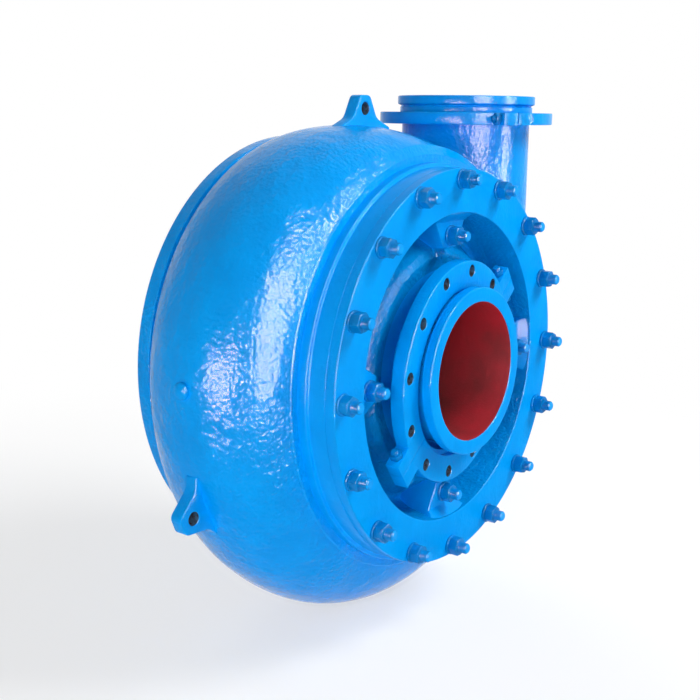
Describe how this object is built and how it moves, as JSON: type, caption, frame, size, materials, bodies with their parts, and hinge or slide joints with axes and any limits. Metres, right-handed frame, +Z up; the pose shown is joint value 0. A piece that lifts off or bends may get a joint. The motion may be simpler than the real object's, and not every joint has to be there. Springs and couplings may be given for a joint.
{
  "type": "slurry pump",
  "caption": "Wet end of a heavy slurry pump: volute casing, bolted front cover, split loose flanges, impeller and packed shaft seal.",
  "frame": {"origin": "on the shaft axis, in the plane of the rear cover's outer face, where the bearing frame bolts on", "axes": "+Y along the shaft, away from the suction; +Z up; the discharge pipe rises parallel to +Z at +X"},
  "size_m": [1.2345, 0.7636, 1.16],
  "materials": {
    "casing": "gloss enamel, sky blue",
    "cover": "gloss enamel, sky blue",
    "suction_pipe": "gloss enamel, sky blue",
    "rear_cover": "gloss enamel, sky blue",
    "suction_flange": "gloss enamel, sky blue",
    "discharge_flange": "gloss enamel, sky blue",
    "painted_fastener": "gloss enamel, sky blue",
    "wet_iron": "as cast, hard white iron",
    "turned_steel": "turned",
    "packing": "braided, graphited"
  },
  "bodies": {
    "casing": {"volute_casing": "casing", "casing_plug": "casing", "front_cover": "cover", "suction_pipe": "suction_pipe", "front_liner": "wet_iron", "rear_liner": "wet_iron", "rear_cover": "rear_cover", "stuffing_box": "rear_cover", "lantern_ring": "turned_steel", "packing_ring_1": "packing", "packing_ring_2": "packing", "packing_ring_3": "packing", "gland_stud_1": "turned_steel", "gland_stud_2": "turned_steel", "cover_stud_01": "painted_fastener", "cover_stud_02": "painted_fastener", "cover_stud_03": "painted_fastener", "cover_stud_04": "painted_fastener", "cover_stud_05": "painted_fastener", "cover_stud_06": "painted_fastener", "cover_stud_07": "painted_fastener", "cover_stud_08": "painted_fastener", "cover_stud_09": "painted_fastener", "cover_stud_10": "painted_fastener", "cover_stud_11": "painted_fastener", "cover_stud_12": "painted_fastener", "cover_stud_13": "painted_fastener", "cover_stud_14": "painted_fastener", "cover_stud_15": "painted_fastener", "cover_stud_16": "painted_fastener", "liner_stud_1": "painted_fastener", "liner_stud_2": "painted_fastener", "liner_stud_3": "painted_fastener", "liner_stud_4": "painted_fastener", "rear_stud_1": "painted_fastener", "rear_stud_2": "painted_fastener", "rear_stud_3": "painted_fastener", "rear_stud_4": "painted_fastener", "rear_stud_5": "painted_fastener", "rear_stud_6": "painted_fastener", "rear_stud_7": "painted_fastener", "rear_stud_8": "painted_fastener"},
    "rotor": {"shaft": "turned_steel", "shaft_sleeve": "turned_steel", "impeller": "wet_iron"},
    "suction_flange": {"suction_flange_upper": "suction_flange", "suction_flange_lower": "suction_flange", "suction_flange_bolt_1": "painted_fastener", "suction_flange_bolt_2": "painted_fastener"},
    "discharge_flange": {"discharge_flange_left": "discharge_flange", "discharge_flange_right": "discharge_flange", "discharge_flange_bolt_1": "painted_fastener", "discharge_flange_bolt_2": "painted_fastener"},
    "gland": {"packing_gland": "rear_cover", "gland_nut_1": "turned_steel", "gland_nut_2": "turned_steel"}
  },
  "joints": [
    {"name": "rotor_spin", "type": "hinge", "parent": "casing", "child": "rotor", "pos_m": [0, 0, 0], "axis": [0, 1, 0], "continuous": true},
    {"name": "suction_flange_turn", "type": "hinge", "parent": "casing", "child": "suction_flange", "pos_m": [0, -0.4715, -0.0073], "axis": [0.0697, -0.9971, -0.0297], "range_deg": [-18, 18]},
    {"name": "discharge_flange_turn", "type": "hinge", "parent": "casing", "child": "discharge_flange", "pos_m": [0.418, -0.226, 0.5287], "axis": [0, 0, 1], "continuous": true},
    {"name": "gland_slide", "type": "slide", "parent": "casing", "child": "gland", "axis": [0, 1, 0], "range_m": [0, 0.012]}
  ]
}
